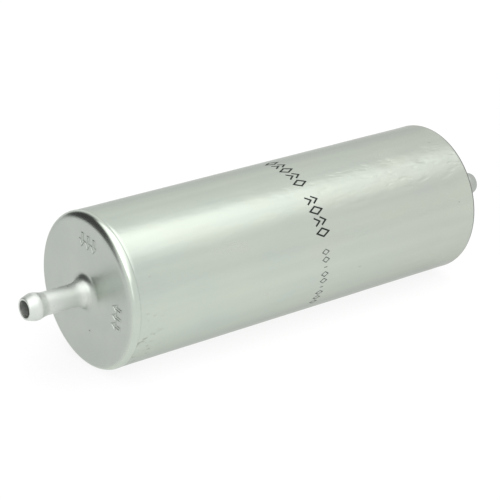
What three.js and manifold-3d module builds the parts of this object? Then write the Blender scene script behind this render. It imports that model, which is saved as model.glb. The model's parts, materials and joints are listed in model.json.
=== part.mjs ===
// In-line metal fuel filter: a drawn aluminium can with a hose spigot on its closed end, a cover with
// the outlet spigot rolled into its open end, and a spring-seated pleated paper element inside.
// Millimetres. X runs along the can from the inlet to the outlet, Z is up, and the origin is on the
// can's axis, midway between the two spigot tips.
import * as THREE from 'three';
import { mergeVertices } from 'three/addons/utils/BufferGeometryUtils.js';
import Module from 'manifold-3d';

const wasm = await Module();
wasm.setup();

// ---- driving dimensions -------------------------------------------------------------------------

const CLEARANCE = 0.3; // between pieces that touch each other in the real filter

// Can
const CAN_SEGMENTS = 48;
const COVER_SEGMENTS = 40;
const CAN_RADIUS = 27.5; // over the witness ridge
const SIDE_RADIUS = 27.38;
const BODY_HALF = 77.25;
const CORNER_RADIUS = 3;
const FLOOR_THICKNESS = 2;
const INNER_RADIUS = 26.1;
const RIM_INNER_RADIUS = 26.58; // the wall is thinner where it is rolled over the cover
const SHOULDER_X = 70.55; // step in the wall that the cover stands on
const LIP_THICKNESS = 0.9;
const LIP_INNER_RADIUS = 23.4;
const LIP_BEND_RADIUS = 1.4;
const RIDGE_WIDTH = 0.5;

// Hose spigots
const SPIGOT_LENGTH = 23.75;
const TUBE_RADIUS = 4;
const BORE_RADIUS = 3;
const TIP_RADIUS = 3.65;
const BARB_RADIUS = 4.73;
const ROOT_RADIUS = 7.6;
const ROOT_FILLET = 2.9;
const TIP_X = BODY_HALF + SPIGOT_LENGTH;

// Cover
const COVER_RADIUS = RIM_INNER_RADIUS - CLEARANCE;
const COVER_TOP_X = BODY_HALF - LIP_THICKNESS - CLEARANCE;
const COVER_BASE_X = SHOULDER_X + CLEARANCE;
const COVER_DISH_X = COVER_TOP_X - 0.75;
const COVER_DISH_RADIUS = 21.6;
const COVER_WEB_X = COVER_DISH_X - 2.2;
const COVER_RIB_RADIUS = 20.8;
const NECK_RADIUS = 6;
const NECK_END_X = 63.4;
const NECK_BORE_RADIUS = 4.6;
const NECK_BORE_END_X = 69;
const SEAL_GROOVE = { from: 72.1, to: 74.7, radius: 24 };
const COVER_SEAL_SECTION = 1;
const COVER_SEAL_RADIUS = 25.25;

// Element
const ELEMENT_SEGMENTS = 32;
const DISC_RADIUS = 24.4;
const DISC_SHEET = 0.6;
const DISC_RIM = 5;
const CLOSED_DISC_X = -64.5;
const OPEN_DISC_X = 62;
const ADHESIVE_THICKNESS = 1.3;
const TAB = { count: 4, width: 4, reach: INNER_RADIUS - CLEARANCE };
const PAPER_OUTER_RADIUS = 23;
const PAPER_INNER_RADIUS = 11;
const PAPER_THICKNESS = 0.45;
const PLEATS = 40;
const PLEAT_TIP_WIDTH = 0.9;
const PLEAT_ROOT_WIDTH = 0.7;
const CLIP = { depth: 5, sheet: 0.4 };
const CORE = { outer: 9.7, inner: 9.1, segments: 18, holeRadius: 1.45, holes: 6, rows: 7 };
const COLLAR = { inner: 8.6, outer: 9.2, endX: 67, holeRadius: 7.2 };
const OUTLET_SEAL = { inner: NECK_RADIUS + CLEARANCE, outer: COLLAR.inner - CLEARANCE, endX: 66.5 };

// Spring, its seat, support plate and strainer
const SPRING = { wire: 0.6, radius: 9, turns: 3.6, closedTurns: 0.8, gap: 0.15 };
const SEAT = { sheet: 0.8, radius: 12, rimHeight: 2.6 };
const SUPPORT = { sheet: 0.8, outer: 23.6, inner: 14.5, windows: 6, windowWidth: 13 };
const STRAINER = { noseX: 41, plugRadius: NECK_BORE_RADIUS - CLEARANCE, flangeRadius: 5.6, ribs: 4 };
const GAUZE = { outer: 5.1, inner: 4.8, segments: 12, holes: 6, rows: 6, holeLength: 2, holeWidth: 1.6 };

// Rows of raised flow arrows stamped into the closed end, at these angles from the top
const ARROW = { radius: 18.4, length: 4.6, width: 2.7, shaft: 0.9, height: 0.25, perRow: 3, pitch: 3.3 };
const ARROW_ROWS = [8, 100];

const CLOSED_INNER_X = CLOSED_DISC_X + DISC_SHEET;
const OPEN_INNER_X = OPEN_DISC_X - DISC_SHEET;
const PAPER_START_X = CLOSED_INNER_X + ADHESIVE_THICKNESS + 2 * CLEARANCE;
const PAPER_END_X = OPEN_INNER_X - ADHESIVE_THICKNESS - 2 * CLEARANCE;

// ---- materials ----------------------------------------------------------------------------------

function finish(color, roughness, metalness) {
  return new THREE.MeshStandardMaterial({ color, roughness, metalness, flatShading: true });
}

const satinAluminium = finish(0xc9cbc6, 0.34, 1);
const castAluminium = finish(0xc2c4c0, 0.42, 1);
const platedSteel = finish(0xb4b09c, 0.4, 1);
const springSteel = finish(0x8c8f92, 0.3, 1);
const sealRubber = finish(0x1c1d1f, 0.75, 0);
const potting = finish(0xb0655a, 0.6, 0);
const paper = finish(0xd9b877, 0.9, 0);
const nylon = finish(0xe4e2d6, 0.5, 0);
const gauzeNylon = finish(0xf0efe8, 0.7, 0);

// ---- geometry helpers ---------------------------------------------------------------------------

// A closed three.js geometry as a manifold solid, facing outwards.
function solid(geometry) {
  const bare = geometry.clone();
  bare.deleteAttribute('normal');
  bare.deleteAttribute('uv');
  const merged = mergeVertices(bare, 1e-4);
  const triVerts = [];
  const index = merged.index.array;
  for (let i = 0; i < index.length; i += 3) {
    const [a, b, c] = [index[i], index[i + 1], index[i + 2]];
    if (a !== b && b !== c && c !== a) triVerts.push(a, b, c);
  }
  return new wasm.Manifold(new wasm.Mesh({
    numProp: 3,
    vertProperties: new Float32Array(merged.attributes.position.array),
    triVerts: new Uint32Array(triVerts),
  }));
}

function geometryOf(body) {
  const mesh = body.getMesh();
  const geometry = new THREE.BufferGeometry();
  geometry.setAttribute('position', new THREE.BufferAttribute(mesh.vertProperties.slice(), 3));
  geometry.setIndex(new THREE.BufferAttribute(mesh.triVerts.slice(), 1));
  geometry.computeVertexNormals();
  return geometry;
}

// A profile of [x, radius] points turned about the X axis. Its flats face up, down and sideways.
function turned(profile, segments) {
  const points = profile.map(([x, radius]) => new THREE.Vector2(radius, x));
  points.push(points[0].clone());
  const geometry = new THREE.LatheGeometry(points, segments, Math.PI / segments, 2 * Math.PI);
  return geometry.rotateZ(-Math.PI / 2);
}

// Points of an arc about [x, radius], angles in degrees: 0 along +X, 90 away from the axis.
function arc(centreX, centreR, size, from, to, steps) {
  const points = [];
  for (let i = 0; i <= steps; i += 1) {
    const angle = THREE.MathUtils.degToRad(from + (to - from) * i / steps);
    points.push([centreX + size * Math.cos(angle), centreR + size * Math.sin(angle)]);
  }
  return points;
}

function box(sizeX, sizeY, sizeZ, x, y, z) {
  return new THREE.BoxGeometry(sizeX, sizeY, sizeZ).translate(x, y, z);
}

function piece(name, geometry, material) {
  const mesh = new THREE.Mesh(geometry, material);
  mesh.name = name;
  return mesh;
}

// ---- hose spigot --------------------------------------------------------------------------------

// Outside of a spigot from its mouth to its root, as [distance from the tip, radius].
function spigotOutside(length) {
  return [
    [0, TIP_RADIUS - 0.12],
    [0.15, TIP_RADIUS + 0.08],
    [3, BARB_RADIUS - 0.09],
    [3.8, BARB_RADIUS],
    [4.6, BARB_RADIUS - 0.05],
    [5.9, TUBE_RADIUS + 0.34],
    [7.3, TUBE_RADIUS],
    [length - 5.4, TUBE_RADIUS],
    [length - 4.2, TUBE_RADIUS + 0.18],
    [length - 3, TUBE_RADIUS + 0.5],
    ...arc(length - ROOT_FILLET, ROOT_RADIUS, ROOT_FILLET, 285, 360, 4),
  ];
}

// ---- housing ------------------------------------------------------------------------------------

function canProfile() {
  const start = -BODY_HALF;
  const ridgeX = start + CORNER_RADIUS;
  const floorX = start + FLOOR_THICKNESS;
  const bendX = BODY_HALF - LIP_BEND_RADIUS - 0.2;
  return [
    [floorX, BORE_RADIUS],
    [-TIP_X + 0.2, BORE_RADIUS],
    [-TIP_X, BORE_RADIUS + 0.15],
    ...spigotOutside(SPIGOT_LENGTH).map(([distance, radius]) => [-TIP_X + distance, radius]),
    ...arc(ridgeX, CAN_RADIUS - CORNER_RADIUS, CORNER_RADIUS, 180, 90, 5),
    [ridgeX + RIDGE_WIDTH, SIDE_RADIUS],
    ...arc(bendX, SIDE_RADIUS - LIP_BEND_RADIUS, LIP_BEND_RADIUS, 90, 15, 4),
    [BODY_HALF, LIP_INNER_RADIUS + 1.4],
    [BODY_HALF, LIP_INNER_RADIUS + 0.2],
    [BODY_HALF - 0.2, LIP_INNER_RADIUS],
    [BODY_HALF - LIP_THICKNESS, LIP_INNER_RADIUS],
    [BODY_HALF - LIP_THICKNESS, LIP_INNER_RADIUS + 1.6],
    [BODY_HALF - LIP_THICKNESS - 0.9, RIM_INNER_RADIUS],
    [SHOULDER_X, RIM_INNER_RADIUS],
    [SHOULDER_X, INNER_RADIUS],
    [floorX + 2, INNER_RADIUS],
    [floorX + 0.6, INNER_RADIUS - 0.5],
    [floorX, INNER_RADIUS - 2],
  ];
}

// A raised arrow lying on the closed end, pointing in towards the spigot and moved sideways in its row.
function flowArrow(angle, sideways) {
  const half = ARROW.width / 2;
  const neck = ARROW.length * 0.45;
  const outline = new THREE.Shape([
    new THREE.Vector2(0, 0),
    new THREE.Vector2(half, neck),
    new THREE.Vector2(ARROW.shaft / 2, neck),
    new THREE.Vector2(ARROW.shaft / 2, ARROW.length),
    new THREE.Vector2(-ARROW.shaft / 2, ARROW.length),
    new THREE.Vector2(-ARROW.shaft / 2, neck),
    new THREE.Vector2(-half, neck),
  ]);
  const sunk = 0.5;
  const geometry = new THREE.ExtrudeGeometry(outline, { depth: ARROW.height + sunk, bevelEnabled: false });
  geometry.rotateY(-Math.PI / 2);
  geometry.rotateX(Math.PI / 2);
  geometry.translate(-BODY_HALF + sunk, sideways, ARROW.radius - ARROW.length / 2);
  return geometry.rotateX(THREE.MathUtils.degToRad(angle));
}

function housingCan() {
  let body = solid(turned(canProfile(), CAN_SEGMENTS));
  for (const angle of ARROW_ROWS) {
    for (let i = 0; i < ARROW.perRow; i += 1) {
      const sideways = (i - (ARROW.perRow - 1) / 2) * ARROW.pitch;
      body = body.add(solid(flowArrow(angle, sideways)));
    }
  }
  return geometryOf(body);
}

function endCover() {
  const length = TIP_X - COVER_DISH_X;
  const outside = spigotOutside(length).map(([distance, radius]) => [TIP_X - distance, radius]);
  return turned([
    [NECK_BORE_END_X, BORE_RADIUS],
    [NECK_BORE_END_X, NECK_BORE_RADIUS],
    [NECK_END_X, NECK_BORE_RADIUS],
    [NECK_END_X, NECK_RADIUS - 0.4],
    [NECK_END_X + 0.4, NECK_RADIUS],
    [COVER_WEB_X - 1, NECK_RADIUS],
    [COVER_WEB_X, NECK_RADIUS + 1],
    [COVER_WEB_X, COVER_RIB_RADIUS],
    [COVER_BASE_X, COVER_RIB_RADIUS],
    [COVER_BASE_X, COVER_RADIUS],
    [SEAL_GROOVE.from, COVER_RADIUS],
    [SEAL_GROOVE.from, SEAL_GROOVE.radius],
    [SEAL_GROOVE.to, SEAL_GROOVE.radius],
    [SEAL_GROOVE.to, COVER_RADIUS],
    [COVER_TOP_X - 0.9, COVER_RADIUS],
    [COVER_TOP_X, COVER_RADIUS - 1.6],
    [COVER_TOP_X, COVER_DISH_RADIUS + 1],
    [COVER_DISH_X, COVER_DISH_RADIUS],
    ...outside.reverse(),
    [TIP_X, BORE_RADIUS + 0.15],
    [TIP_X - 0.2, BORE_RADIUS],
  ], COVER_SEGMENTS);
}

function coverSeal() {
  const middle = (SEAL_GROOVE.from + SEAL_GROOVE.to) / 2;
  const section = arc(middle, COVER_SEAL_RADIUS, COVER_SEAL_SECTION, 360, 0, 6).slice(1);
  return turned(section, COVER_SEGMENTS);
}

// ---- filter element -----------------------------------------------------------------------------

// The tabs on a disc's rim that keep the element central in the can.
function withTabs(disc, rimStart, rimEnd) {
  const reach = TAB.reach - DISC_RADIUS + 1;
  let body = solid(disc);
  for (let i = 0; i < TAB.count; i += 1) {
    const tab = box(rimEnd - rimStart - 2, TAB.width, reach, (rimStart + rimEnd) / 2, 0,
      TAB.reach - reach / 2 - 0.1);
    tab.rotateX((i + 0.5) * 2 * Math.PI / TAB.count);
    body = body.add(solid(tab));
  }
  return geometryOf(body);
}

function closedEndDisc() {
  const rimEnd = CLOSED_DISC_X + DISC_RIM;
  const disc = turned([
    [CLOSED_DISC_X, 0],
    [CLOSED_DISC_X, DISC_RADIUS - 0.7],
    [CLOSED_DISC_X + 0.7, DISC_RADIUS],
    [rimEnd, DISC_RADIUS],
    [rimEnd, DISC_RADIUS - DISC_SHEET],
    [CLOSED_INNER_X + 0.4, DISC_RADIUS - DISC_SHEET],
    [CLOSED_INNER_X, DISC_RADIUS - DISC_SHEET - 0.4],
    [CLOSED_INNER_X, 0],
  ], ELEMENT_SEGMENTS);
  return withTabs(disc, CLOSED_DISC_X, rimEnd);
}

function openEndDisc() {
  const rimEnd = OPEN_DISC_X - DISC_RIM;
  const disc = turned([
    [OPEN_INNER_X, COLLAR.holeRadius],
    [OPEN_INNER_X, DISC_RADIUS - DISC_SHEET - 0.4],
    [OPEN_INNER_X - 0.4, DISC_RADIUS - DISC_SHEET],
    [rimEnd, DISC_RADIUS - DISC_SHEET],
    [rimEnd, DISC_RADIUS],
    [OPEN_DISC_X - 0.7, DISC_RADIUS],
    [OPEN_DISC_X, DISC_RADIUS - 0.7],
    [OPEN_DISC_X, COLLAR.outer],
    [COLLAR.endX, COLLAR.outer],
    [COLLAR.endX, COLLAR.inner],
    [OPEN_DISC_X, COLLAR.inner],
    [OPEN_DISC_X, COLLAR.holeRadius],
  ], ELEMENT_SEGMENTS);
  return withTabs(disc, rimEnd, OPEN_DISC_X);
}

function ring(fromX, toX, inner, outer, segments) {
  return turned([[fromX, inner], [fromX, outer], [toX, outer], [toX, inner]], segments);
}

// The line the paper follows across one end of the element: a tip, two flanks and a root per pleat.
function pleatLine() {
  const pitch = 2 * Math.PI / PLEATS;
  const tipHalf = PLEAT_TIP_WIDTH / 2 / PAPER_OUTER_RADIUS;
  const rootHalf = PLEAT_ROOT_WIDTH / 2 / PAPER_INNER_RADIUS;
  const line = [];
  for (let i = 0; i < PLEATS; i += 1) {
    const tip = i * pitch;
    const root = (i + 0.5) * pitch;
    for (const [angle, radius] of [[tip - tipHalf, PAPER_OUTER_RADIUS], [tip + tipHalf, PAPER_OUTER_RADIUS],
      [root - rootHalf, PAPER_INNER_RADIUS], [root + rootHalf, PAPER_INNER_RADIUS]]) {
      line.push(new THREE.Vector2(radius * Math.cos(angle), radius * Math.sin(angle)));
    }
  }
  return line;
}

// A closed line moved sideways by a distance, with mitred corners.
function offsetLine(line, distance) {
  return line.map((point, i) => {
    const before = line[(i + line.length - 1) % line.length];
    const after = line[(i + 1) % line.length];
    const incoming = point.clone().sub(before).normalize();
    const outgoing = after.clone().sub(point).normalize();
    const normal = new THREE.Vector2(incoming.y + outgoing.y, -incoming.x - outgoing.x).normalize();
    const mitre = normal.x * incoming.y - normal.y * incoming.x;
    return point.clone().addScaledVector(normal, distance / mitre);
  });
}

// A flat outline drawn in Y and Z and pulled along X.
function alongX(outline, fromX, toX) {
  const geometry = new THREE.ExtrudeGeometry(outline, { depth: toX - fromX, bevelEnabled: false });
  geometry.rotateX(Math.PI / 2);
  geometry.rotateZ(Math.PI / 2);
  return geometry.translate(fromX, 0, 0);
}

function filterPaper() {
  const line = pleatLine();
  const outline = new THREE.Shape(offsetLine(line, PAPER_THICKNESS / 2));
  outline.holes.push(new THREE.Path(offsetLine(line, -PAPER_THICKNESS / 2)));
  return alongX(outline, PAPER_START_X, PAPER_END_X);
}

// The folded strip that closes the seam, over the tip of the first pleat.
function pleatClip() {
  const inside = PLEAT_TIP_WIDTH / 2 + PAPER_THICKNESS / 2 + CLEARANCE;
  const outside = inside + CLIP.sheet;
  const roof = PAPER_OUTER_RADIUS + PAPER_THICKNESS / 2 + CLEARANCE;
  const foot = roof - CLIP.depth;
  const outline = new THREE.Shape([
    new THREE.Vector2(foot, -outside),
    new THREE.Vector2(roof + CLIP.sheet, -outside),
    new THREE.Vector2(roof + CLIP.sheet, outside),
    new THREE.Vector2(foot, outside),
    new THREE.Vector2(foot, inside),
    new THREE.Vector2(roof, inside),
    new THREE.Vector2(roof, -inside),
    new THREE.Vector2(foot, -inside),
  ]);
  return alongX(outline, CLOSED_DISC_X + DISC_RIM + CLEARANCE, OPEN_DISC_X - DISC_RIM - CLEARANCE);
}

// The perforated tube that the paper is folded around.
function centreTube() {
  let body = solid(ring(PAPER_START_X, PAPER_END_X, CORE.inner, CORE.outer, CORE.segments));
  const spacing = (PAPER_END_X - PAPER_START_X) / (CORE.rows + 0.5);
  for (let row = 0; row < CORE.rows; row += 1) {
    for (let i = 0; i < CORE.holes / 2; i += 1) {
      const drill = new THREE.CylinderGeometry(CORE.holeRadius, CORE.holeRadius, 3 * CORE.outer, 6);
      drill.rotateX(2 * Math.PI * (i / CORE.holes + (row % 3) / CORE.segments));
      drill.translate(PAPER_START_X + (row + 0.75) * spacing, 0, 0);
      body = body.subtract(solid(drill));
    }
  }
  return geometryOf(body);
}

function outletSeal() {
  const start = OPEN_DISC_X + CLEARANCE;
  return turned([
    [start, OUTLET_SEAL.inner + 0.5],
    [start, OUTLET_SEAL.outer],
    [OUTLET_SEAL.endX, OUTLET_SEAL.outer],
    [OUTLET_SEAL.endX, OUTLET_SEAL.inner + 0.8],
    [OUTLET_SEAL.endX - 1.4, OUTLET_SEAL.inner],
    [start + 1.4, OUTLET_SEAL.inner],
  ], ELEMENT_SEGMENTS);
}

// ---- spring and its seat ------------------------------------------------------------------------

// A compression spring's centre line along X, with its end turns closed up.
class SpringCurve extends THREE.Curve {
  constructor(fromX, toX) {
    super();
    this.fromX = fromX;
    this.toX = toX;
  }

  getPoint(t, target = new THREE.Vector3()) {
    const turn = t * SPRING.turns;
    const closedRise = SPRING.closedTurns * (2 * SPRING.wire + SPRING.gap);
    const openTurns = SPRING.turns - 2 * SPRING.closedTurns;
    const openRise = this.toX - this.fromX - 2 * closedRise;
    const open = THREE.MathUtils.clamp(turn - SPRING.closedTurns, 0, openTurns) / openTurns;
    const closed = turn - open * openTurns;
    const x = this.fromX + closed * closedRise / SPRING.closedTurns + open * openRise;
    const angle = 2 * Math.PI * turn;
    return target.set(x, SPRING.radius * Math.cos(angle), SPRING.radius * Math.sin(angle));
  }
}

const SEAT_X = CLOSED_DISC_X - CLEARANCE;

function preloadSpring() {
  const fromX = -BODY_HALF + FLOOR_THICKNESS + CLEARANCE + SPRING.wire;
  const toX = SEAT_X - SEAT.sheet - CLEARANCE - SPRING.wire;
  const section = new THREE.Shape();
  section.absarc(0, 0, SPRING.wire, 0, 2 * Math.PI);
  return new THREE.ExtrudeGeometry(section, {
    steps: Math.round(SPRING.turns * 16),
    curveSegments: 4,
    extrudePath: new SpringCurve(fromX, toX),
  });
}

function springSeat() {
  const face = SEAT_X - SEAT.sheet;
  const rimX = SEAT_X - SEAT.rimHeight;
  return turned([
    [face, 0],
    [face, SEAT.radius - SEAT.sheet - 0.4],
    [face - 0.4, SEAT.radius - SEAT.sheet],
    [rimX, SEAT.radius - SEAT.sheet],
    [rimX, SEAT.radius],
    [SEAT_X - 0.8, SEAT.radius],
    [SEAT_X, SEAT.radius - 0.8],
    [SEAT_X, 0],
  ], CORE.segments);
}

// ---- outlet end ---------------------------------------------------------------------------------

// A windowed cup that stands on the cover and stops the element.
function supportPlate() {
  const faceX = OPEN_DISC_X + CLEARANCE;
  const endX = COVER_BASE_X - CLEARANCE;
  let body = solid(turned([
    [faceX, SUPPORT.inner],
    [faceX, SUPPORT.outer - 0.8],
    [faceX + 0.8, SUPPORT.outer],
    [endX, SUPPORT.outer],
    [endX, SUPPORT.outer - SUPPORT.sheet],
    [faceX + SUPPORT.sheet, SUPPORT.outer - SUPPORT.sheet],
    [faceX + SUPPORT.sheet, SUPPORT.inner],
  ], ELEMENT_SEGMENTS));
  for (let i = 0; i < SUPPORT.windows / 2; i += 1) {
    const window = box(4.2, SUPPORT.windowWidth, 3 * SUPPORT.outer, (faceX + endX) / 2 + 0.6, 0, 0);
    window.rotateX((i + 0.5) * 2 * Math.PI / SUPPORT.windows);
    body = body.subtract(solid(window));
  }
  return geometryOf(body);
}

// A plug ring in the cover's neck, with ribs out to a closed nose.
function strainerFrame() {
  const flangeX = NECK_END_X - CLEARANCE;
  const plug = turned([
    [flangeX - 0.8, STRAINER.plugRadius - 0.9],
    [flangeX - 0.8, STRAINER.flangeRadius],
    [flangeX, STRAINER.flangeRadius],
    [flangeX, STRAINER.plugRadius],
    [NECK_BORE_END_X - 1, STRAINER.plugRadius],
    [NECK_BORE_END_X - 1, STRAINER.plugRadius - 0.9],
  ], CORE.segments);
  const nose = turned([
    [STRAINER.noseX - 2, 0],
    [STRAINER.noseX - 1.4, STRAINER.flangeRadius - 1.2],
    [STRAINER.noseX - 0.8, STRAINER.flangeRadius],
    [STRAINER.noseX, STRAINER.flangeRadius],
    [STRAINER.noseX, 0],
  ], CORE.segments);
  let body = solid(plug).add(solid(nose));
  const ribHeight = 0.8;
  const ribMiddle = GAUZE.inner - CLEARANCE - ribHeight / 2 - 0.1;
  for (let i = 0; i < STRAINER.ribs; i += 1) {
    const rib = box(flangeX - STRAINER.noseX, 0.9, ribHeight, (flangeX + STRAINER.noseX) / 2 - 0.2, 0,
      ribMiddle);
    rib.rotateX((i + 0.5) * 2 * Math.PI / STRAINER.ribs);
    body = body.add(solid(rib));
  }
  return geometryOf(body);
}

// A coarse sleeve for the woven gauze around the ribs.
function strainerGauze() {
  const fromX = STRAINER.noseX + CLEARANCE;
  const toX = NECK_END_X - 0.8 - 2 * CLEARANCE;
  let body = solid(ring(fromX, toX, GAUZE.inner, GAUZE.outer, GAUZE.segments));
  const spacing = (toX - fromX) / GAUZE.rows;
  for (let row = 0; row < GAUZE.rows; row += 1) {
    for (let i = 0; i < GAUZE.holes / 2; i += 1) {
      const cutter = box(GAUZE.holeLength, GAUZE.holeWidth, 3 * GAUZE.outer,
        fromX + (row + 0.5) * spacing, 0, 0);
      cutter.rotateX((i + 0.5) * 2 * Math.PI / GAUZE.holes);
      body = body.subtract(solid(cutter));
    }
  }
  return geometryOf(body);
}

// ---- assembly -----------------------------------------------------------------------------------

const housing = new THREE.Group();
housing.add(
  piece('housing_can', housingCan(), satinAluminium),
  piece('end_cover', endCover(), castAluminium),
  piece('cover_seal', coverSeal(), sealRubber),
  piece('preload_spring', preloadSpring(), springSteel),
  piece('support_plate', supportPlate(), platedSteel),
  piece('strainer_frame', strainerFrame(), nylon),
  piece('strainer_gauze', strainerGauze(), gauzeNylon),
);

const element = new THREE.Group();
element.add(
  piece('spring_seat', springSeat(), platedSteel),
  piece('closed_end_disc', closedEndDisc(), platedSteel),
  piece('closed_end_potting', ring(CLOSED_INNER_X + CLEARANCE, PAPER_START_X - CLEARANCE, CORE.inner,
    DISC_RADIUS - DISC_SHEET - 0.5, ELEMENT_SEGMENTS), potting),
  piece('filter_paper', filterPaper(), paper),
  piece('pleat_clip', pleatClip(), platedSteel),
  piece('centre_tube', centreTube(), platedSteel),
  piece('open_end_potting', ring(PAPER_END_X + CLEARANCE, OPEN_INNER_X - CLEARANCE, CORE.inner,
    DISC_RADIUS - DISC_SHEET - 0.5, ELEMENT_SEGMENTS), potting),
  piece('open_end_disc', openEndDisc(), platedSteel),
  piece('outlet_seal', outletSeal(), sealRubber),
);

const fuelFilter = new THREE.Group();
fuelFilter.name = 'fuel_filter';
fuelFilter.add(housing, element);

export default fuelFilter;
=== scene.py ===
import json
import math

import bmesh
import bpy
import numpy as np
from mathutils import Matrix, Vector, noise


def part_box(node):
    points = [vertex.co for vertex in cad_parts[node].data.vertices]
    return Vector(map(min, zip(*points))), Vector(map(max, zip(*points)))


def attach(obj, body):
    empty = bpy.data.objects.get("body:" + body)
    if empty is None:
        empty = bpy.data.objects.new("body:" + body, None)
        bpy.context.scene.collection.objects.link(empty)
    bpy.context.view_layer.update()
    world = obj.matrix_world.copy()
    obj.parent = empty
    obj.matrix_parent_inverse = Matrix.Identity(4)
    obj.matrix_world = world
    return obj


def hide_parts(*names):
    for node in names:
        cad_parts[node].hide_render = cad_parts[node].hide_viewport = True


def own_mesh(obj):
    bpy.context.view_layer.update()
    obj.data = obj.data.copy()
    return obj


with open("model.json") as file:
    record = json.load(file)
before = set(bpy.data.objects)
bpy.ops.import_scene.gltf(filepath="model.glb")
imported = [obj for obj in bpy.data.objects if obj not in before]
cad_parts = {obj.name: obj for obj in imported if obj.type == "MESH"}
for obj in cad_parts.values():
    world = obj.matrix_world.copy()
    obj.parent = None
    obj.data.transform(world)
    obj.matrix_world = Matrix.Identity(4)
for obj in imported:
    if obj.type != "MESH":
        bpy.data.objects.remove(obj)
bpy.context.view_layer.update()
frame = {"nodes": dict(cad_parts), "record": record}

MM = 0.001
SHARP_DEGREES = 35

# ---- sizes ------------------------------------------------------------------------------------------

# From the frame
CAN_LOW, CAN_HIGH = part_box("housing_can")
COVER_LOW, COVER_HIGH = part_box("end_cover")
SPRING_LOW, SPRING_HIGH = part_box("preload_spring")
RIM_X = CAN_HIGH.x / MM
TIP_X = COVER_HIGH.x / MM
RIDGE_R = CAN_HIGH.z / MM
FLOOR_Z = CAN_LOW.z

# Hose spigots, in millimetres
TUBE_R = 4.0
BORE_R = 3.0
TIP_R = 3.65
BARB_R = 4.73
ROOT_R = 7.6
ROOT_FILLET = 2.9
SPIGOT_LENGTH = TIP_X - RIM_X

# Can and cover, in millimetres
RIDGE_HEIGHT = 0.12
RIDGE_WIDTH = 0.55
SIDE_R = RIDGE_R - RIDGE_HEIGHT
CORNER_R = 3.0
FLOOR_THICKNESS = 2.0
FLOOR_FILLET = 2.0
INNER_R = 26.1
RIM_INNER_R = 26.5
SHOULDER_X = 70.55
LIP_THICKNESS = 0.9
LIP_INNER_R = 23.4
LIP_BEND_R = 1.4
WALL_STEPS = 150
WALL_SEGMENTS = 320
COVER_TOP_X = RIM_X - LIP_THICKNESS - 0.3
COVER_DISH_X = COVER_TOP_X - 0.75
COVER_DISH_R = 21.6
COVER_DEPTH = 2.2
COVER_BEAD_R = 20.0
COVER_SEGMENTS = 240

# The cover's inner neck and the groove for its seal, in millimetres
NECK_R = 6.0
NECK_BORE_R = 4.6
NECK_BORE_X = 69.0
GROOVE_R = 24.0
GROOVE_LOW_X = 72.1
GROOVE_HIGH_X = 74.7

# How far the wall is from true: long waves, and ripples that deepen towards the rim. Depths and lengths
# are in millimetres, a turn is how often the pattern changes round the can, and the shift keeps the
# ripples' pattern apart from the waves'.
WAVE_DEPTH = 0.06
WAVE_LENGTH = 15
WAVE_TURN = 2.2
RIPPLE_DEPTH = 0.035
RIPPLE_LENGTH = 5
RIPPLE_TURN = 5.5
RIPPLE_SHIFT = 40

# Soft dents in the wall: x, angle from the top in degrees, half length, half width and depth
DENTS = [
    (28, 38, 9, 4, 0.05),
    (44, 30, 7, 3.5, 0.06),
    (52, 44, 10, 3, 0.05),
    (62, 35, 6, 3, 0.06),
    (-70.5, 97, 1.5, 0.9, 0.12),
    (-68.5, 94, 1.2, 0.8, 0.08),
    (-71, 104, 2, 0.8, 0.10),
    (-67, 127, 3.5, 1.1, 0.12),
    (-61, 134, 3, 1.2, 0.07),
    (-12, 128, 6, 2.5, 0.05),
    (66, 118, 3, 2, 0.07),
    (15, 250, 14, 6, 0.08),
    (-40, 200, 10, 5, 0.07),
]

# Raised arrows and pip of the closed end, in millimetres and degrees from the top
ARROW_RADIUS = 18.4
ARROW_LENGTH = 4.6
ARROW_WIDTH = 2.7
ARROW_SHAFT = 0.9
ARROW_LINE = 0.5
ARROW_TOP_SHARE = 0.35
ARROW_SINK = 0.1
ARROW_HEIGHT = 0.22
ARROWS_PER_ROW = 3
ARROW_PITCH = 3.3
ARROW_ROWS = (8, 100)
PIP_PHI = 172
PIP_RADIUS = 13.75
PIP_SIDES = 16
PIP_PROFILE = ((0.62, -0.05), (0.55, 0.05), (0.38, 0.13), (0.16, 0.17))

# Printed rows, in millimetres, with the pitch in degrees round the wall
INK_LIFT = 0.015
INK_SINK = 0.02
LARGE_SIGNS = {"pitch": 8.4, "middle_x": 4.6, "half_height": 2.65, "half_width": 1.45, "line": 0.62}
SMALL_SIGNS = {"pitch": 5.9, "middle_x": 4.7, "half_height": 1.5, "half_width": 1.0, "line": 0.34}

# Strokes of the arrows and the print: the step between points in millimetres, and how much wider than
# the stroke a corner may get
STROKE_STEP = 0.4
MITRE_LIMIT = 1.8

# Preload spring, in millimetres
WIRE_R = 0.6
WIRE_SIDES = 14
SPRING_TURNS = 3.6
CLOSED_TURNS = 0.8
CLOSED_GAP = 0.15
STEPS_PER_TURN = 64

# Studio: the table in metres, and the strength of each light against the white all round
TABLE_HALF = 6.0
TABLE_GAP = 0.00005
TABLE_GLOW = 0.84
SOFTBOX_GAIN = 0.95
STRIP_GAIN = 0.55
UNLIT_LOSS = 0.93

# Directions in the studio: the two level ones that the softbox's edges are given along, and the middle
# of the unlit corner
FORWARD = (0.6196, 0.7849, 0.0)
RIGHT = (0.7849, -0.6196, 0.0)
UNLIT = (-0.549, 0.702, 0.454)

# Camera: place in metres, direction, and focal length and sensor width in millimetres
CAMERA_PLACE = (-0.3998, -0.4971, 0.2442)
CAMERA_DIRECTION = (0.57756, 0.73166, -0.36206)
CAMERA_LENS = 138.28
CAMERA_SENSOR = 36.0


# ---- mesh helpers -----------------------------------------------------------------------------------

def arc(centre_x, centre_r, size, start, end, steps):
    """Points [x, radius] of an arc; 0 degrees is along +X and 90 is away from the axis."""
    angles = np.radians(np.linspace(start, end, steps + 1))
    return [(centre_x + size * math.cos(a), centre_r + size * math.sin(a)) for a in angles]


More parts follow.
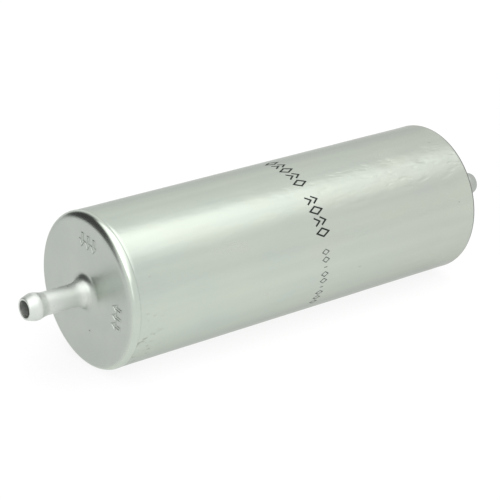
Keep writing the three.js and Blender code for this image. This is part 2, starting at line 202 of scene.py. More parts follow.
def flowing(points, per_span):
    """A smooth line through the points, with per_span pieces between each two."""
    p = [Vector(q) for q in points]
    p = [2 * p[0] - p[1], *p, 2 * p[-1] - p[-2]]
    line = []
    for a, b, c, d in zip(p, p[1:], p[2:], p[3:]):
        slope_b = (c - a) * ((c - b).length / (c - a).length)
        slope_c = (d - b) * ((c - b).length / (d - b).length)
        for i in range(per_span):
            t = i / per_span
            line.append(b * (2 * t**3 - 3 * t**2 + 1) + slope_b * (t**3 - 2 * t**2 + t)
                        + c * (3 * t**2 - 2 * t**3) + slope_c * (t**3 - t**2))
    line.append(p[-2])
    return [tuple(q) for q in line]


def straight(start, end, steps):
    """Points from start up to, and without, end."""
    return [tuple(Vector(start).lerp(Vector(end), i / steps)) for i in range(steps)]


def add_object(name, data):
    """A new object of a mesh or a camera, in the scene."""
    obj = bpy.data.objects.new(name, data)
    bpy.context.scene.collection.objects.link(obj)
    return obj


def finish_mesh(name, bm):
    """A smooth-shaded object whose corners of SHARP_DEGREES and over are kept sharp."""
    bmesh.ops.recalc_face_normals(bm, faces=bm.faces)
    for face in bm.faces:
        face.smooth = True
    for edge in bm.edges:
        edge.smooth = not edge.is_manifold or edge.calc_face_angle(0) < math.radians(SHARP_DEGREES)
    mesh = bpy.data.meshes.new(name)
    bm.to_mesh(mesh)
    bm.free()
    return add_object(name, mesh)


def turned(name, profile, segments, finish_of, shape=None):
    """A closed profile of [x, radius] millimetres turned about the X axis.
    finish_of(x, radius) gives a face's material number, and shape(x, radius, phi) the radius to use."""
    bm = bmesh.new()
    rings = []
    for x, radius in profile:
        ring = []
        for i in range(segments):
            phi = 2 * math.pi * i / segments
            r = shape(x, radius, phi) if shape else radius
            ring.append(bm.verts.new((x * MM, -r * MM * math.sin(phi), r * MM * math.cos(phi))))
        rings.append(ring)
    for n, ring in enumerate(rings):
        after = rings[(n + 1) % len(rings)]
        middle = Vector(profile[n]).lerp(Vector(profile[(n + 1) % len(rings)]), 0.5)
        for i in range(segments):
            j = (i + 1) % segments
            face = bm.faces.new((ring[i], ring[j], after[j], after[i]))
            face.material_index = finish_of(*middle)
    return finish_mesh(name, bm)


# ---- materials --------------------------------------------------------------------------------------

class Shader:
    """Short ways to add and join the nodes of a material or of the world."""

    def __init__(self, owner, coordinates="Object"):
        owner.use_nodes = True
        self.nodes = owner.node_tree.nodes
        self.links = owner.node_tree.links
        self.place = self.nodes.new("ShaderNodeTexCoord").outputs[coordinates]

    def plug(self, socket, value):
        """Gives an input a number, a colour or another node's output."""
        if isinstance(value, tuple):
            socket.default_value = value if len(socket.default_value) == len(value) else (*value, 1)
        elif isinstance(value, (int, float)):
            socket.default_value = value
        else:
            self.links.new(value, socket)

    def scaled(self, scale):
        """The coordinates times a scale along each axis."""
        mapping = self.nodes.new("ShaderNodeMapping")
        mapping.inputs["Scale"].default_value = scale
        self.links.new(self.place, mapping.inputs["Vector"])
        return mapping.outputs["Vector"]

    def noise(self, scale, detail, roughness):
        node = self.nodes.new("ShaderNodeTexNoise")
        node.inputs["Scale"].default_value = 1.0
        node.inputs["Detail"].default_value = detail
        node.inputs["Roughness"].default_value = roughness
        self.links.new(self.scaled(scale), node.inputs["Vector"])
        return node.outputs["Fac"]

    def spots(self, scale, size, share):
        """Fades from 1 in the middle of scattered spots to 0 at their edge, on a share of the cells."""
        node = self.nodes.new("ShaderNodeTexVoronoi")
        node.inputs["Scale"].default_value = 1.0
        self.links.new(self.scaled(scale), node.inputs["Vector"])
        spot = self.falls(node.outputs["Distance"], 0.0, size)
        draw = self.along(node.outputs["Color"], (1, 0, 0))
        chosen = self.ranged(draw, share - 0.001, share, 1.0, 0.0)
        return self.maths("MULTIPLY", spot, chosen)

    def wave(self, scale, direction):
        """Even bands across one axis."""
        node = self.nodes.new("ShaderNodeTexWave")
        node.bands_direction = direction
        node.inputs["Scale"].default_value = scale
        self.links.new(self.place, node.inputs["Vector"])
        return node.outputs["Fac"]

    def along(self, vector, axis):
        """How far a vector reaches along an axis."""
        node = self.nodes.new("ShaderNodeVectorMath")
        node.operation = "DOT_PRODUCT"
        node.inputs[1].default_value = axis
        self.links.new(vector, node.inputs[0])
        return node.outputs["Value"]

    def ranged(self, value, low, high, to_low, to_high, steps="LINEAR"):
        """Maps low to high onto to_low to to_high, and holds the value at both ends."""
        node = self.nodes.new("ShaderNodeMapRange")
        node.interpolation_type = steps
        limits = {"From Min": low, "From Max": high, "To Min": to_low, "To Max": to_high}
        for socket, number in limits.items():
            node.inputs[socket].default_value = number
        self.links.new(value, node.inputs["Value"])
        return node.outputs["Result"]

    def rises(self, value, low, high, to=1.0):
        """A smooth step up, from 0 at low to the last number at high."""
        return self.ranged(value, low, high, 0.0, to, "SMOOTHSTEP")

    def falls(self, value, low, high):
        """A smooth step down, from 1 at low to 0 at high."""
        return self.ranged(value, low, high, 1.0, 0.0, "SMOOTHSTEP")

    def maths(self, kind, a, b):
        node = self.nodes.new("ShaderNodeMath")
        node.operation = kind
        self.plug(node.inputs[0], a)
        self.plug(node.inputs[1], b)
        return node.outputs["Value"]

    def ramp(self, value, stops):
        node = self.nodes.new("ShaderNodeValToRGB")
        elements = node.color_ramp.elements
        for extra in stops[2:]:
            elements.new(extra[0])
        for element, (position, colour) in zip(elements, sorted(stops)):
            element.position = position
            element.color = (*colour, 1)
        self.links.new(value, node.inputs["Fac"])
        return node.outputs["Color"]

    def mix(self, factor, a, b, blend="MIX"):
        node = self.nodes.new("ShaderNodeMix")
        node.data_type = "RGBA"
        node.blend_type = blend
        colours = [socket for socket in node.inputs if socket.type == "RGBA"]
        self.plug(node.inputs["Factor"], factor)
        self.plug(colours[0], a)
        self.plug(colours[1], b)
        return next(socket for socket in node.outputs if socket.type == "RGBA")

    def bump(self, height, distance, onto=None):
        node = self.nodes.new("ShaderNodeBump")
        node.inputs["Distance"].default_value = distance
        self.links.new(height, node.inputs["Height"])
        if onto is not None:
            self.links.new(onto, node.inputs["Normal"])
        return node.outputs["Normal"]


class Finish(Shader):
    """A new material with its Principled node; constants go straight onto that node's inputs."""

    def __init__(self, name, **constants):
        self.material = bpy.data.materials.new(name)
        super().__init__(self.material)
        self.bsdf = self.nodes["Principled BSDF"]
        for socket, value in constants.items():
            self.plug(self.bsdf.inputs[socket.replace("_", " ")], value)

    def set(self, socket, value):
        self.links.new(value, self.bsdf.inputs[socket])


def shade(colour, factor):
    """A colour made darker or lighter."""
    return tuple(min(1.0, c * factor) for c in colour)


def satin_aluminium(name, near, far, roughness):
    """Drawn aluminium: its tint drifts from near to far along the can, with cloudy patches, faint draw
    lines, dark specks, low scuffs by the closed end, fine wisps, and shallow ripples and pits that deepen
    towards the rim. The pits are shallower on the back."""
    s = Finish(name, Metallic=1.0, Specular_Tint=(0.68, 0.69, 0.68))
    place_x = s.along(s.place, (1, 0, 0))
    place_y = s.along(s.place, (0, 1, 0))
    place_z = s.along(s.place, (0, 0, 1))
    clouds = s.noise((38, 62, 62), 3.0, 0.55)
    bands = s.noise((6, 190, 190), 2.0, 0.5)
    lines = s.noise((25, 800, 800), 1.5, 0.5)
    drifting = s.maths("ADD", place_x, s.ranged(clouds, 0.3, 0.7, -0.05, 0.05))
    tint = s.mix(s.ranged(drifting, -0.06, 0.06, 0.0, 1.0), near, far)
    streaky = s.maths("ADD", s.maths("MULTIPLY", bands, 0.45), s.maths("MULTIPLY", clouds, 0.55))
    shading = s.ramp(streaky, [(0.34, (0.90, 0.905, 0.92)), (0.66, (1.0, 1.0, 0.99))])
    specks = s.spots((190, 330, 330), 0.11, 0.16)
    tone = s.mix(specks, s.mix(1.0, tint, shading, "MULTIPLY"), shade(far, 0.6))
    scratched = s.rises(s.noise((330, 700, 700), 3.0, 0.6), 0.55, 0.68, 0.45)
    low_corner = s.maths("MULTIPLY", s.falls(place_x, -0.071, -0.062), s.falls(place_z, -0.010, 0.006))
    s.set("Base Color", s.mix(s.maths("MULTIPLY", scratched, low_corner), tone, shade(far, 0.45)))
    sheen = s.ranged(clouds, 0.3, 0.7, roughness - 0.03, roughness + 0.03)
    s.set("Roughness", s.maths("ADD", sheen, s.ranged(lines, 0.3, 0.7, -0.015, 0.015)))
    wisps = s.bump(s.noise((42, 210, 210), 4.0, 0.6), 0.00007, s.bump(lines, 0.0000015))
    rim_side = s.ranged(place_x, -0.03, 0.05, 0.12, 1.0)
    ripples = s.maths("MULTIPLY", s.noise((110, 230, 230), 2.0, 0.5), rim_side)
    hollows = s.rises(s.noise((170, 430, 430), 1.5, 0.5), 0.54, 0.72)
    front_side = s.ranged(place_y, -0.006, 0.016, 1.0, 0.3)
    pits = s.maths("MULTIPLY", hollows, s.maths("MULTIPLY", rim_side, front_side))
    s.set("Normal", s.bump(pits, -0.00005, s.bump(ripples, 0.00013, wisps)))
    return s.material


def end_aluminium(name, spigot, face, wall):
    """The closed end in one piece: a light matt spigot, a satin face and a corner in the wall's tone."""
    s = Finish(name, Specular_Tint=(0.85, 0.86, 0.85))
    place_x = s.along(s.place, (1, 0, 0))
    neck = s.falls(place_x, (-RIM_X - ROOT_FILLET) * MM, (-RIM_X - 0.4) * MM)
    corner = s.rises(place_x, (-RIM_X + 0.1) * MM, (-RIM_X + 1.1) * MM)
    clouds = s.noise((140, 90, 90), 3.0, 0.5)
    grain = s.noise((1300, 1300, 1300), 3.0, 0.6)
    tint = s.mix(neck, s.mix(corner, face, wall), spigot)
    shading = s.ramp(clouds, [(0.32, (0.94, 0.945, 0.95)), (0.68, (1.0, 1.0, 0.995))])
    specks = s.spots((260, 260, 260), 0.10, 0.14)
    s.set("Base Color", s.mix(specks, s.mix(1.0, tint, shading, "MULTIPLY"), shade(face, 0.5)))
    s.set("Metallic", s.ranged(neck, 0.0, 1.0, 1.0, 0.68))
    polish = s.mix(neck, s.mix(corner, (0.35, 0.35, 0.35), (0.20, 0.20, 0.20)), (0.40, 0.40, 0.40))
    s.set("Roughness", s.maths("ADD", polish, s.ranged(grain, 0.3, 0.7, -0.02, 0.02)))
    scuffs = s.noise((420, 90, 420), 2.0, 0.5)
    s.set("Normal", s.bump(grain, 0.0000012, s.bump(scuffs, 0.000008)))
    return s.material


def matt_aluminium(name, base, roughness):
    """Matt aluminium with a fine even grain."""
    s = Finish(name, Metallic=1.0, Specular_Tint=(0.85, 0.86, 0.85))
    grain = s.noise((1500, 1500, 1500), 3.0, 0.6)
    clouds = s.noise((140, 220, 220), 2.0, 0.5)
    s.set("Base Color", s.ramp(clouds, [(0.3, shade(base, 0.93)), (0.7, shade(base, 1.02))]))
    s.set("Roughness", s.ranged(grain, 0.3, 0.7, roughness - 0.05, roughness + 0.05))
    s.set("Normal", s.bump(grain, 0.000018))
    return s.material


def zinc_plate(name, base, roughness):
    """Sheet steel with yellow passivated zinc: rolling lines under patches of straw and grey."""
    s = Finish(name, Metallic=1.0)
    patches = s.noise((70, 90, 90), 4.0, 0.6)
    rolled = s.noise((900, 60, 900), 2.0, 0.5)
    tones = [(0.30, shade(base, 0.85)), (0.48, base), (0.72, (0.60, 0.60, 0.56))]
    s.set("Base Color", s.ramp(patches, tones))
    s.set("Roughness", s.ranged(patches, 0.3, 0.7, roughness - 0.06, roughness + 0.08))
    s.set("Normal", s.bump(rolled, 0.00001))
    return s.material


def wire_steel(name, base):
    """Drawn spring wire with dull die marks."""
    s = Finish(name, Metallic=1.0)
    marks = s.noise((700, 700, 700), 4.0, 0.65)
    s.set("Base Color", s.ramp(marks, [(0.35, shade(base, 0.8)), (0.65, shade(base, 1.1))]))
    s.set("Roughness", s.ranged(marks, 0.3, 0.7, 0.26, 0.42))
    s.set("Normal", s.bump(marks, 0.000012))
    return s.material


def moulded_rubber(name, base):
    """Black moulded rubber with a fine grain and a grey bloom."""
    s = Finish(name, Specular_IOR_Level=0.35)
    grain = s.noise((1200, 1200, 1200), 3.0, 0.6)
    bloom = s.noise((160, 160, 160), 3.0, 0.55)
    s.set("Base Color", s.ramp(bloom, [(0.35, base), (0.75, shade(base, 2.2))]))
    s.set("Roughness", s.ranged(bloom, 0.3, 0.7, 0.55, 0.8))
    s.set("Normal", s.bump(grain, 0.00002))
    return s.material


def cured_potting(name, base):
    """Brick-red potting: smooth where it levelled, with small bubbles."""
    s = Finish(name, Specular_IOR_Level=0.5)
    swirl = s.noise((120, 180, 180), 4.0, 0.6)
    bubbles = s.spots((520, 520, 520), 0.35, 0.25)
    s.set("Base Color", s.ramp(swirl, [(0.3, shade(base, 0.75)), (0.7, shade(base, 1.2))]))
    s.set("Roughness", s.ranged(swirl, 0.3, 0.7, 0.32, 0.55))
    s.set("Normal", s.bump(bubbles, -0.00012, s.bump(swirl, 0.00008)))
    return s.material


def pleat_paper(name, base):
    """Resin-treated filter paper: fibres, mottled resin and rolled-in grooves, one after another along
    the element."""
    s = Finish(name, Specular_IOR_Level=0.2, Sheen_Weight=0.15, Sheen_Roughness=0.6)
    fibres = s.noise((1600, 420, 420), 5.0, 0.7)
    mottle = s.noise((150, 150, 150), 3.0, 0.6)
    tone = s.ramp(mottle, [(0.3, shade(base, 0.80)), (0.7, shade(base, 1.12))])
    s.set("Base Color", s.mix(s.ranged(fibres, 0.45, 0.75, 0.0, 0.35), tone, shade(base, 0.55)))
    s.set("Roughness", s.ranged(fibres, 0.3, 0.7, 0.78, 0.95))
    s.set("Normal", s.bump(fibres, 0.00007, s.bump(s.wave(160, "X"), 0.00006)))
    return s.material


def moulded_nylon(name, base):
    """Natural nylon, a little translucent, with flow marks from the mould."""
    s = Finish(name, Subsurface_Weight=0.15, Subsurface_Radius=(0.001, 0.0009, 0.0007))
    flow = s.noise((60, 240, 240), 2.0, 0.5)
    grain = s.noise((1500, 1500, 1500), 2.0, 0.5)
    s.set("Base Color", s.ramp(flow, [(0.3, shade(base, 0.94)), (0.7, base)]))
    s.set("Roughness", s.ranged(flow, 0.3, 0.7, 0.38, 0.5))
    s.set("Normal", s.bump(grain, 0.00001))
    return s.material


def printed_ink(name, base, coverage):
    """Jet-printed ink: a matt film with thin places that look paler."""
    s = Finish(name, Specular_IOR_Level=0.3)
    thin = s.noise((900, 900, 900), 3.0, 0.6)
    s.set("Base Color", s.ramp(thin, [(coverage, base), (coverage + 0.18, shade(base, 3.2))]))
    s.set("Roughness", s.ranged(thin, 0.3, 0.7, 0.5, 0.75))
    s.set("Normal", s.bump(thin, 0.00001))
    return s.material


# Colours of the wall by the closed end and by the rim, and of the closed end's face
WALL_NEAR = (0.568, 0.622, 0.552)
WALL_FAR = (0.547, 0.577, 0.514)
FACE = (0.485, 0.522, 0.480)
can_metal = satin_aluminium("can_aluminium", WALL_NEAR, WALL_FAR, 0.24)
end_metal = end_aluminium("end_aluminium", (0.68, 0.715, 0.67), FACE, WALL_NEAR)
# The rolled edge's dark aluminium is painted reflection: a dark line standing in for dark surroundings
# mirrored at the bend's grazing angle
rolled_edge_painted_dark = matt_aluminium("rolled_edge_painted_reflection", (0.17, 0.18, 0.165), 0.36)
bore_metal = matt_aluminium("bore_aluminium", (0.60, 0.62, 0.59), 0.45)
cover_metal = matt_aluminium("cover_aluminium", (0.50, 0.53, 0.49), 0.36)
# The far spigot's aluminium is darker than the cover's and the closed end's spigot: painted shade standing
# in for the dark reflection it shows
far_spigot_painted_shade = matt_aluminium("far_spigot_painted_dark_aluminium", (0.44, 0.46, 0.43), 0.40)
plated_metal = zinc_plate("plated_steel", (0.56, 0.50, 0.34), 0.34)
spring_metal = wire_steel("spring_steel", (0.50, 0.51, 0.52))
rubber = moulded_rubber("seal_rubber", (0.018, 0.018, 0.019))
potting = cured_potting("end_potting", (0.36, 0.10, 0.07))
paper = pleat_paper("filter_paper", (0.70, 0.48, 0.20))
nylon = moulded_nylon("nylon", (0.78, 0.76, 0.68))
gauze_nylon = moulded_nylon("gauze", (0.86, 0.85, 0.80))
dark_ink = printed_ink("dark_ink", (0.012, 0.017, 0.014), 0.62)
faint_ink = printed_ink("faint_ink", (0.075, 0.09, 0.08), 0.50)


# ---- housing ------------------------------------------------------------------------------------------

def spigot_outside(length):
    """Outside of a spigot from its mouth to its root, as [distance from the tip, radius]."""
    barb = flowing([(0.0, TIP_R - 0.12), (0.16, TIP_R + 0.08), (0.7, TIP_R + 0.34), (2.9, BARB_R - 0.07),
                    (3.6, BARB_R), (4.5, BARB_R - 0.06), (5.3, BARB_R - 0.3), (6.2, TUBE_R + 0.22),
                    (7.3, TUBE_R + 0.02), (8.2, TUBE_R)], 5)
    fillet = arc(length - ROOT_FILLET, ROOT_R, ROOT_FILLET, -75, 0, 12)
    flare = flowing([(length - 6.2, TUBE_R), (length - 5.4, TUBE_R + 0.03), (length - 4.2, TUBE_R + 0.18),
                     (length - 3.0, TUBE_R + 0.5), fillet[0]], 5)
    return barb + straight(barb[-1], flare[0], 6)[1:] + flare + fillet[1:]


def can_profile():
    """Section of the can, once round its metal, as [x, radius]."""
    start = -RIM_X
    floor_x = start + FLOOR_THICKNESS
    ridge_x = start + CORNER_R
    bend_x = RIM_X - LIP_BEND_R - 0.2
    lip_x = RIM_X - LIP_THICKNESS
    wall_start = (ridge_x + RIDGE_WIDTH + 0.25, SIDE_R)
    bend = arc(bend_x, SIDE_R - LIP_BEND_R, LIP_BEND_R, 90, 14, 8)
    mouth = [(floor_x, BORE_R), (-TIP_X + 0.3, BORE_R), (-TIP_X + 0.1, BORE_R + 0.04),
             (-TIP_X, BORE_R + 0.2)]
    spigot = [(-TIP_X + d, r) for d, r in spigot_outside(SPIGOT_LENGTH)]
    face = straight((start, ROOT_R + 0.5), (start, RIDGE_R - CORNER_R), 24)
    corner = arc(ridge_x, RIDGE_R - CORNER_R, CORNER_R, 180, 90, 14)
    ridge = [(ridge_x + 0.25, RIDGE_R), (ridge_x + 0.4, RIDGE_R - 0.03),
             (ridge_x + RIDGE_WIDTH, SIDE_R - 0.05), (ridge_x + RIDGE_WIDTH + 0.12, SIDE_R - 0.04)]
    lip = [(RIM_X, LIP_INNER_R + 1.4), (RIM_X, LIP_INNER_R + 0.25), (RIM_X - 0.08, LIP_INNER_R + 0.07),
           (RIM_X - 0.25, LIP_INNER_R), (lip_x + 0.1, LIP_INNER_R), (lip_x, LIP_INNER_R + 0.1)]
    inside = [(lip_x, LIP_INNER_R + 1.6), (lip_x - 0.3, LIP_INNER_R + 2.6), (lip_x - 0.9, RIM_INNER_R),
              (SHOULDER_X, RIM_INNER_R), (SHOULDER_X, INNER_R)]
    wall = straight(wall_start, bend[0], WALL_STEPS)
    fillet = arc(floor_x + FLOOR_FILLET, INNER_R - FLOOR_FILLET, FLOOR_FILLET, 90, 180, 5)
    return [*mouth, *spigot, *face, *corner, *ridge, *wall, *bend, *lip, *inside, *fillet]


def wall_shape(x, radius, phi):
    """The wall is never quite true: shallow waves along it and a few soft dents, all inwards. They start
    over 6 mm at the closed end and end over 3 mm at the rim."""
    low, high = -RIM_X + CORNER_R + 1, RIM_X - 2
    if radius < SIDE_R - 0.5 or not low < x < high:
        return radius
    y, z = -math.sin(phi), math.cos(phi)
    ease = min(1.0, (x - low) / 6, (high - x) / 3)
    along = 0.35 + 0.65 * (x + RIM_X) / (2 * RIM_X)
    waves = 0.5 + 0.5 * noise.noise(Vector((x / WAVE_LENGTH, WAVE_TURN * y, WAVE_TURN * z)))
    shifted = x / RIPPLE_LENGTH + RIPPLE_SHIFT
    ripples = 0.5 + 0.5 * noise.noise(Vector((shifted, RIPPLE_TURN * y, RIPPLE_TURN * z)))
    depth = WAVE_DEPTH * waves + RIPPLE_DEPTH * ripples * along**2
    for dent_x, dent_phi, half_length, half_width, dent_depth in DENTS:
        turn = (phi - math.radians(dent_phi) + math.pi) % (2 * math.pi) - math.pi
        away = ((x - dent_x) / half_length) ** 2 + (turn * SIDE_R / half_width) ** 2
        depth += dent_depth * math.exp(-2 * away)
    return radius - depth * ease


def can_finish(x, radius):
    """Material number of a can face: 0 wall and inside, 1 closed end with its spigot, 2 rolled edge,
    3 bore of the spigot. The rolled edge's dark aluminium is painted reflection."""
    # Painted reflection: the outer bend of the rim gets the dark edge aluminium
    if x > RIM_X - LIP_BEND_R and radius > SIDE_R - 0.7:
        return 2
    if radius < BORE_R + 0.1:
        return 3
    corner = x < -RIM_X + CORNER_R and radius > RIDGE_R - CORNER_R - 0.1
    return 1 if corner or (x < -RIM_X + 0.6 and radius < RIDGE_R - 0.5) else 0


def build_can():
    """The can in smooth curves, with its finer rim, root and wall."""
    can = turned("can_shell", can_profile(), WALL_SEGMENTS, can_finish, wall_shape)
    for material in (can_metal, end_metal, rolled_edge_painted_dark, bore_metal):
        can.data.materials.append(material)
    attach(can, "housing")
    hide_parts("housing_can")


def cover_profile():
    """Section of the cover, once round its metal, as [x, radius]."""
    web_x = COVER_DISH_X - COVER_DEPTH
    base_x = SHOULDER_X + 0.3
    neck_x = COVER_LOW.x / MM
    outer = RIM_INNER_R - 0.32
    spigot = [(TIP_X - d, r) for d, r in spigot_outside(TIP_X - COVER_DISH_X)]
    return [
        (NECK_BORE_X, BORE_R), (NECK_BORE_X, NECK_BORE_R), (neck_x + 0.1, NECK_BORE_R),
        (neck_x, NECK_BORE_R + 0.1), (neck_x, NECK_R - 0.4),
        *arc(neck_x + 0.4, NECK_R - 0.4, 0.4, 180, 90, 4),
        (web_x - 1, NECK_R), *arc(web_x - 1, NECK_R + 1, 1, 270, 360, 4)[1:],
        (web_x, COVER_BEAD_R), *arc(web_x - 0.8, COVER_BEAD_R, 0.8, 0, 90, 4)[1:],
        (base_x + 0.2, COVER_BEAD_R + 0.8), (base_x, COVER_BEAD_R + 1),
        (base_x, outer - 0.3), (base_x + 0.3, outer),
        (GROOVE_LOW_X, outer), (GROOVE_LOW_X, GROOVE_R + 0.2), (GROOVE_LOW_X + 0.2, GROOVE_R),
        (GROOVE_HIGH_X - 0.2, GROOVE_R), (GROOVE_HIGH_X, GROOVE_R + 0.2), (GROOVE_HIGH_X, outer),
        (COVER_TOP_X - 0.9, outer), (COVER_TOP_X, outer - 1.6),
        (COVER_TOP_X, COVER_DISH_R + 1.1), *arc(COVER_TOP_X - 0.4, COVER_DISH_R + 1.0, 0.4, 0, -50, 3),
        (COVER_DISH_X + 0.1, COVER_DISH_R + 0.1), (COVER_DISH_X, COVER_DISH_R - 0.3),
        *straight((COVER_DISH_X, COVER_DISH_R - 1), (COVER_DISH_X, ROOT_R), 10), *reversed(spigot),
        (TIP_X, BORE_R + 0.2), (TIP_X - 0.1, BORE_R + 0.04), (TIP_X - 0.3, BORE_R),
    ]


def cover_finish(x, radius):
    """Material number of a cover face: 0 cover, 1 its spigot with the bore, in a darker aluminium that is
    painted shade.
    """
    return 1 if x > COVER_DISH_X + 0.15 and radius < ROOT_R - 0.3 else 0


def build_cover():
    """The cover in smooth curves."""
    cover = turned("cover_shell", cover_profile(), COVER_SEGMENTS, cover_finish)
    cover.data.materials.append(cover_metal)
    cover.data.materials.append(far_spigot_painted_shade)
    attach(cover, "housing")
    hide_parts("end_cover")


# ---- marks on the can -----------------------------------------------------------------------------------

def on_wall(x, across, lift):
    """A point on the wall: x along it, across round it from the top, and lift off it, in millimetres."""
    phi = across / SIDE_R
    radius = wall_shape(x, SIDE_R, phi) + lift
    return (x * MM, -radius * MM * math.sin(phi), radius * MM * math.cos(phi))


def on_face(phi_degrees):
    """Places points on the closed end: up is away from the spigot, at an angle from the top."""
    phi = math.radians(phi_degrees)

    def place(across, up, lift):
        y = -up * math.sin(phi) - across * math.cos(phi)
        z = up * math.cos(phi) - across * math.sin(phi)
        return ((-RIM_X - lift) * MM, y * MM, z * MM)
    return place


def stepped(corners, closed):
    """The corner points with more points between them, about STROKE_STEP apart."""
    ends = [*corners[1:], corners[0]] if closed else corners[1:]
    points = []
    for a, b in zip(corners, ends):
        count = max(1, round((Vector(b) - Vector(a)).length / STROKE_STEP))
        points += straight(a, b, count)
    return points if closed else [*points, corners[-1]]


def stroke(bm, corners, closed, width, top_share, low, high, place):
    """A raised line of a given width through the corners, narrower on top by top_share."""
    points = [Vector(p) for p in stepped(corners, closed)]
    rings = []
    for i, point in enumerate(points):
        before = points[i - 1] if i or closed else None
        after = points[(i + 1) % len(points)] if i + 1 < len(points) or closed else None
        incoming = (point - before).normalized() if before is not None else (after - point).normalized()
        outgoing = (after - point).normalized() if after is not None else incoming
        side = Vector((incoming.y + outgoing.y, -incoming.x - outgoing.x)).normalized()
        mitre = min(MITRE_LIMIT, 1 / max(0.3, side.dot(Vector((incoming.y, -incoming.x)))))
        section = []
        for share, lift in ((0.5, low), (0.5 * top_share, high), (-0.5 * top_share, high), (-0.5, low)):
            q = point + side * (mitre * width * share)
            section.append(bm.verts.new(place(q.x, q.y, lift)))
        rings.append(section)
    spans = list(zip(rings, rings[1:]))
    if closed:
        spans.append((rings[-1], rings[0]))
    else:
        bm.faces.new(rings[0])
        bm.faces.new(rings[-1][::-1])
    for a, b in spans:
        for k in range(4):
            bm.faces.new((a[k], b[k], b[(k + 1) % 4], a[(k + 1) % 4]))


# Plain signs for the printed row, as strokes in a box two wide and two high; True closes a stroke
DIAMOND = [([(0, 1), (1, 0), (0, -1), (-1, 0)], True)]
CHEVRONS = [([(-1, 0.15), (0, 0.95), (1, 0.15)], False), ([(-1, -0.85), (0, -0.05), (1, -0.85)], False)]
TICK = [([(0, -0.45), (0, 0.45)], False)]


def build_print(name, signs, first_phi, material, pitch, middle_x, half_height, half_width, line):
    """One row of printed signs round the wall, from an angle in degrees down the side."""
    bm = bmesh.new()
    for n, sign in enumerate(signs):
        middle = math.radians(first_phi + n * pitch) * SIDE_R
        for corners, closed in sign:
            path = [(middle_x + up * half_height, middle + across * half_width) for across, up in corners]
            stroke(bm, path, closed, line, 1.0, -INK_SINK, INK_LIFT, on_wall)
    ink = finish_mesh(name, bm)
    ink.data.materials.append(material)
    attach(ink, "housing")


def build_stampings():
    """Rows of raised arrows on the closed end, pointing in at the spigot, and the die's small pip."""
    bm = bmesh.new()
    half, neck, shaft = ARROW_WIDTH / 2, ARROW_LENGTH * 0.45, ARROW_SHAFT / 2
    for phi in ARROW_ROWS:
        place = on_face(phi)
        for n in range(ARROWS_PER_ROW):
            across = (n - (ARROWS_PER_ROW - 1) / 2) * ARROW_PITCH
            inner = ARROW_RADIUS - ARROW_LENGTH / 2
            outline = [(across, inner), (across + half, inner + neck), (across + shaft, inner + neck),
                       (across + shaft, inner + ARROW_LENGTH), (across - shaft, inner + ARROW_LENGTH),
                       (across - shaft, inner + neck), (across - half, inner + neck)]
            stroke(bm, outline, True, ARROW_LINE, ARROW_TOP_SHARE, -ARROW_SINK, ARROW_HEIGHT, place)
    place = on_face(PIP_PHI)
    rings = []
    for size, lift in PIP_PROFILE:
        rings.append([bm.verts.new(place(size * math.cos(a), PIP_RADIUS + size * math.sin(a), lift))
                      for a in np.linspace(0, 2 * math.pi, PIP_SIDES, endpoint=False)])
    for a, b in zip(rings, rings[1:]):
        for k in range(PIP_SIDES):
            after = (k + 1) % PIP_SIDES
            bm.faces.new((a[k], a[after], b[after], b[k]))
    bm.faces.new(rings[0])
    bm.faces.new(rings[-1])
    marks = finish_mesh("stamped_arrows", bm)
    marks.data.materials.append(end_metal)
    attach(marks, "housing")


# ---- inside -----------------------------------------------------------------------------------------------

def build_spring():
    """The preload spring as smooth round wire with closed end turns."""
    low, high = SPRING_LOW.x / MM, SPRING_HIGH.x / MM
    radius = SPRING_HIGH.z / MM - WIRE_R
    closed_rise = CLOSED_TURNS * (2 * WIRE_R + CLOSED_GAP)
    start, end = low + WIRE_R, high - WIRE_R
    open_turns = SPRING_TURNS - 2 * CLOSED_TURNS
    open_rise = end - start - 2 * closed_rise
    bm = bmesh.new()
    rings = []
    steps = round(SPRING_TURNS * STEPS_PER_TURN)
    for i in range(steps + 1):
        turn = SPRING_TURNS * i / steps
        opened = min(max(turn - CLOSED_TURNS, 0), open_turns) / open_turns
        x = start + (turn - opened * open_turns) * closed_rise / CLOSED_TURNS + opened * open_rise
        angle = 2 * math.pi * turn
        ring = []
        for k in range(WIRE_SIDES):
            a = 2 * math.pi * k / WIRE_SIDES
            r = radius + WIRE_R * math.cos(a)
            ring.append(bm.verts.new(((x + WIRE_R * math.sin(a)) * MM, r * MM * math.cos(angle),
                                      r * MM * math.sin(angle))))
        rings.append(ring)
    for a, b in zip(rings, rings[1:]):
        for k in range(WIRE_SIDES):
            after = (k + 1) % WIRE_SIDES
            bm.faces.new((a[k], b[k], b[after], a[after]))
    bm.faces.new(rings[0])
    bm.faces.new(rings[-1])
    spring = finish_mesh("coil_spring", bm)
    spring.data.materials.append(spring_metal)
    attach(spring, "housing")
    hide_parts("preload_spring")
    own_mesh(spring)


def finish_inner_nodes():
    """Gives the inside pieces that keep their own shape the finish of their material slot."""
    finishes = {
        "plated_steel": plated_metal,
        "seal_rubber": rubber,
        "end_potting": potting,
        "filter_paper": paper,
        "nylon": nylon,
        "gauze": gauze_nylon,
    }
    for part in frame["record"]["subparts"]:
        if part["material_slot"] in finishes:
            node = frame["nodes"][part["node"]]
            node.data.materials.clear()
            node.data.materials.append(finishes[part["material_slot"]])


build_can()
build_cover()
build_print("printed_row_large",
            [DIAMOND, CHEVRONS, DIAMOND, CHEVRONS, DIAMOND],
            -6, dark_ink, **LARGE_SIGNS)
build_print("printed_row_large_2",
            [CHEVRONS, DIAMOND, CHEVRONS, DIAMOND],
            44, dark_ink, **LARGE_SIGNS)
build_print("printed_row_small",
            [DIAMOND, DIAMOND, TICK, DIAMOND, DIAMOND, TICK, DIAMOND, DIAMOND, DIAMOND],
            84, faint_ink, **SMALL_SIGNS)
build_stampings()
build_spring()
finish_inner_nodes()


# ---- studio and camera ----------------------------------------------------------------------------------

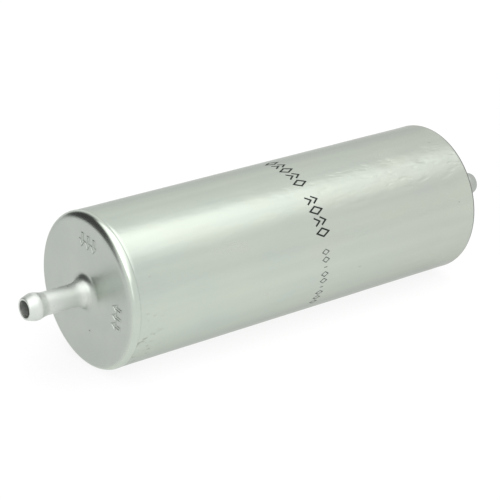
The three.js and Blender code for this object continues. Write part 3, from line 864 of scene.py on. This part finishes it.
def build_floor():
    """A white table that glows a little, so that shadows on it stay light."""
    bm = bmesh.new()
    corners = ((-1, -1), (1, -1), (1, 1), (-1, 1))
    bm.faces.new([bm.verts.new((x * TABLE_HALF, y * TABLE_HALF, FLOOR_Z - TABLE_GAP)) for x, y in corners])
    floor = finish_mesh("studio_floor", bm)
    s = Finish("studio_floor", Roughness=0.9, Specular_IOR_Level=0.0, Emission_Color=(1.0, 1.0, 1.0),
               Emission_Strength=TABLE_GLOW)
    patches = s.noise((3, 3, 3), 2.0, 0.5)
    s.set("Base Color", s.ramp(patches, [(0.3, (0.16, 0.16, 0.16)), (0.7, (0.18, 0.18, 0.18))]))
    floor.data.materials.append(s.material)


def build_world():
    """White light from all round, with a long softbox overhead, a strip light in front of the closed end
    and an unlit corner on that end's far side. The softbox's edges are given by how far a direction leans
    forward and right from upright."""
    world = bpy.data.worlds.new("studio")
    bpy.context.scene.world = world
    s = Shader(world, "Generated")
    up = s.along(s.place, (0, 0, 1))
    forward = s.maths("DIVIDE", s.along(s.place, FORWARD), up)
    right = s.maths("DIVIDE", s.along(s.place, RIGHT), up)
    softbox = s.rises(up, 0.12, 0.30)
    for edge in (s.falls(forward, 0.38, 0.53), s.rises(forward, -2.8, -1.9),
                 s.rises(right, -0.60, -0.30), s.falls(right, 0.20, 1.50)):
        softbox = s.maths("MULTIPLY", softbox, edge)
    x = s.along(s.place, (1, 0, 0))
    y = s.along(s.place, (0, 1, 0))
    strip = s.maths("MULTIPLY", s.rises(x, -0.67, -0.60), s.falls(x, -0.50, -0.40))
    strip = s.maths("MULTIPLY", strip, s.falls(y, -0.35, -0.15))
    beside = s.rises(s.along(s.place, UNLIT), 0.55, 0.84)
    unlit = s.maths("MULTIPLY", beside, s.rises(up, 0.0, 0.14))
    overhead = s.maths("MULTIPLY", softbox, SOFTBOX_GAIN)
    lights = s.maths("ADD", overhead, s.maths("MULTIPLY", strip, STRIP_GAIN))
    level = s.maths("ADD", 1.0, lights)
    level = s.maths("SUBTRACT", level, s.maths("MULTIPLY", unlit, UNLIT_LOSS))
    background = world.node_tree.nodes["Background"]
    background.inputs["Color"].default_value = (1, 1, 1, 1)
    s.links.new(level, background.inputs["Strength"])


def build_camera():
    """The camera, which looks down at the closed end and along the can."""
    data = bpy.data.cameras.new("camera")
    data.lens = CAMERA_LENS
    data.sensor_width = CAMERA_SENSOR
    camera = add_object("camera", data)
    camera.location = CAMERA_PLACE
    camera.rotation_euler = Vector(CAMERA_DIRECTION).to_track_quat("-Z", "Y").to_euler()
    bpy.context.scene.camera = camera


build_floor()
build_world()
build_camera()
bpy.context.scene.view_settings.view_transform = "Standard"
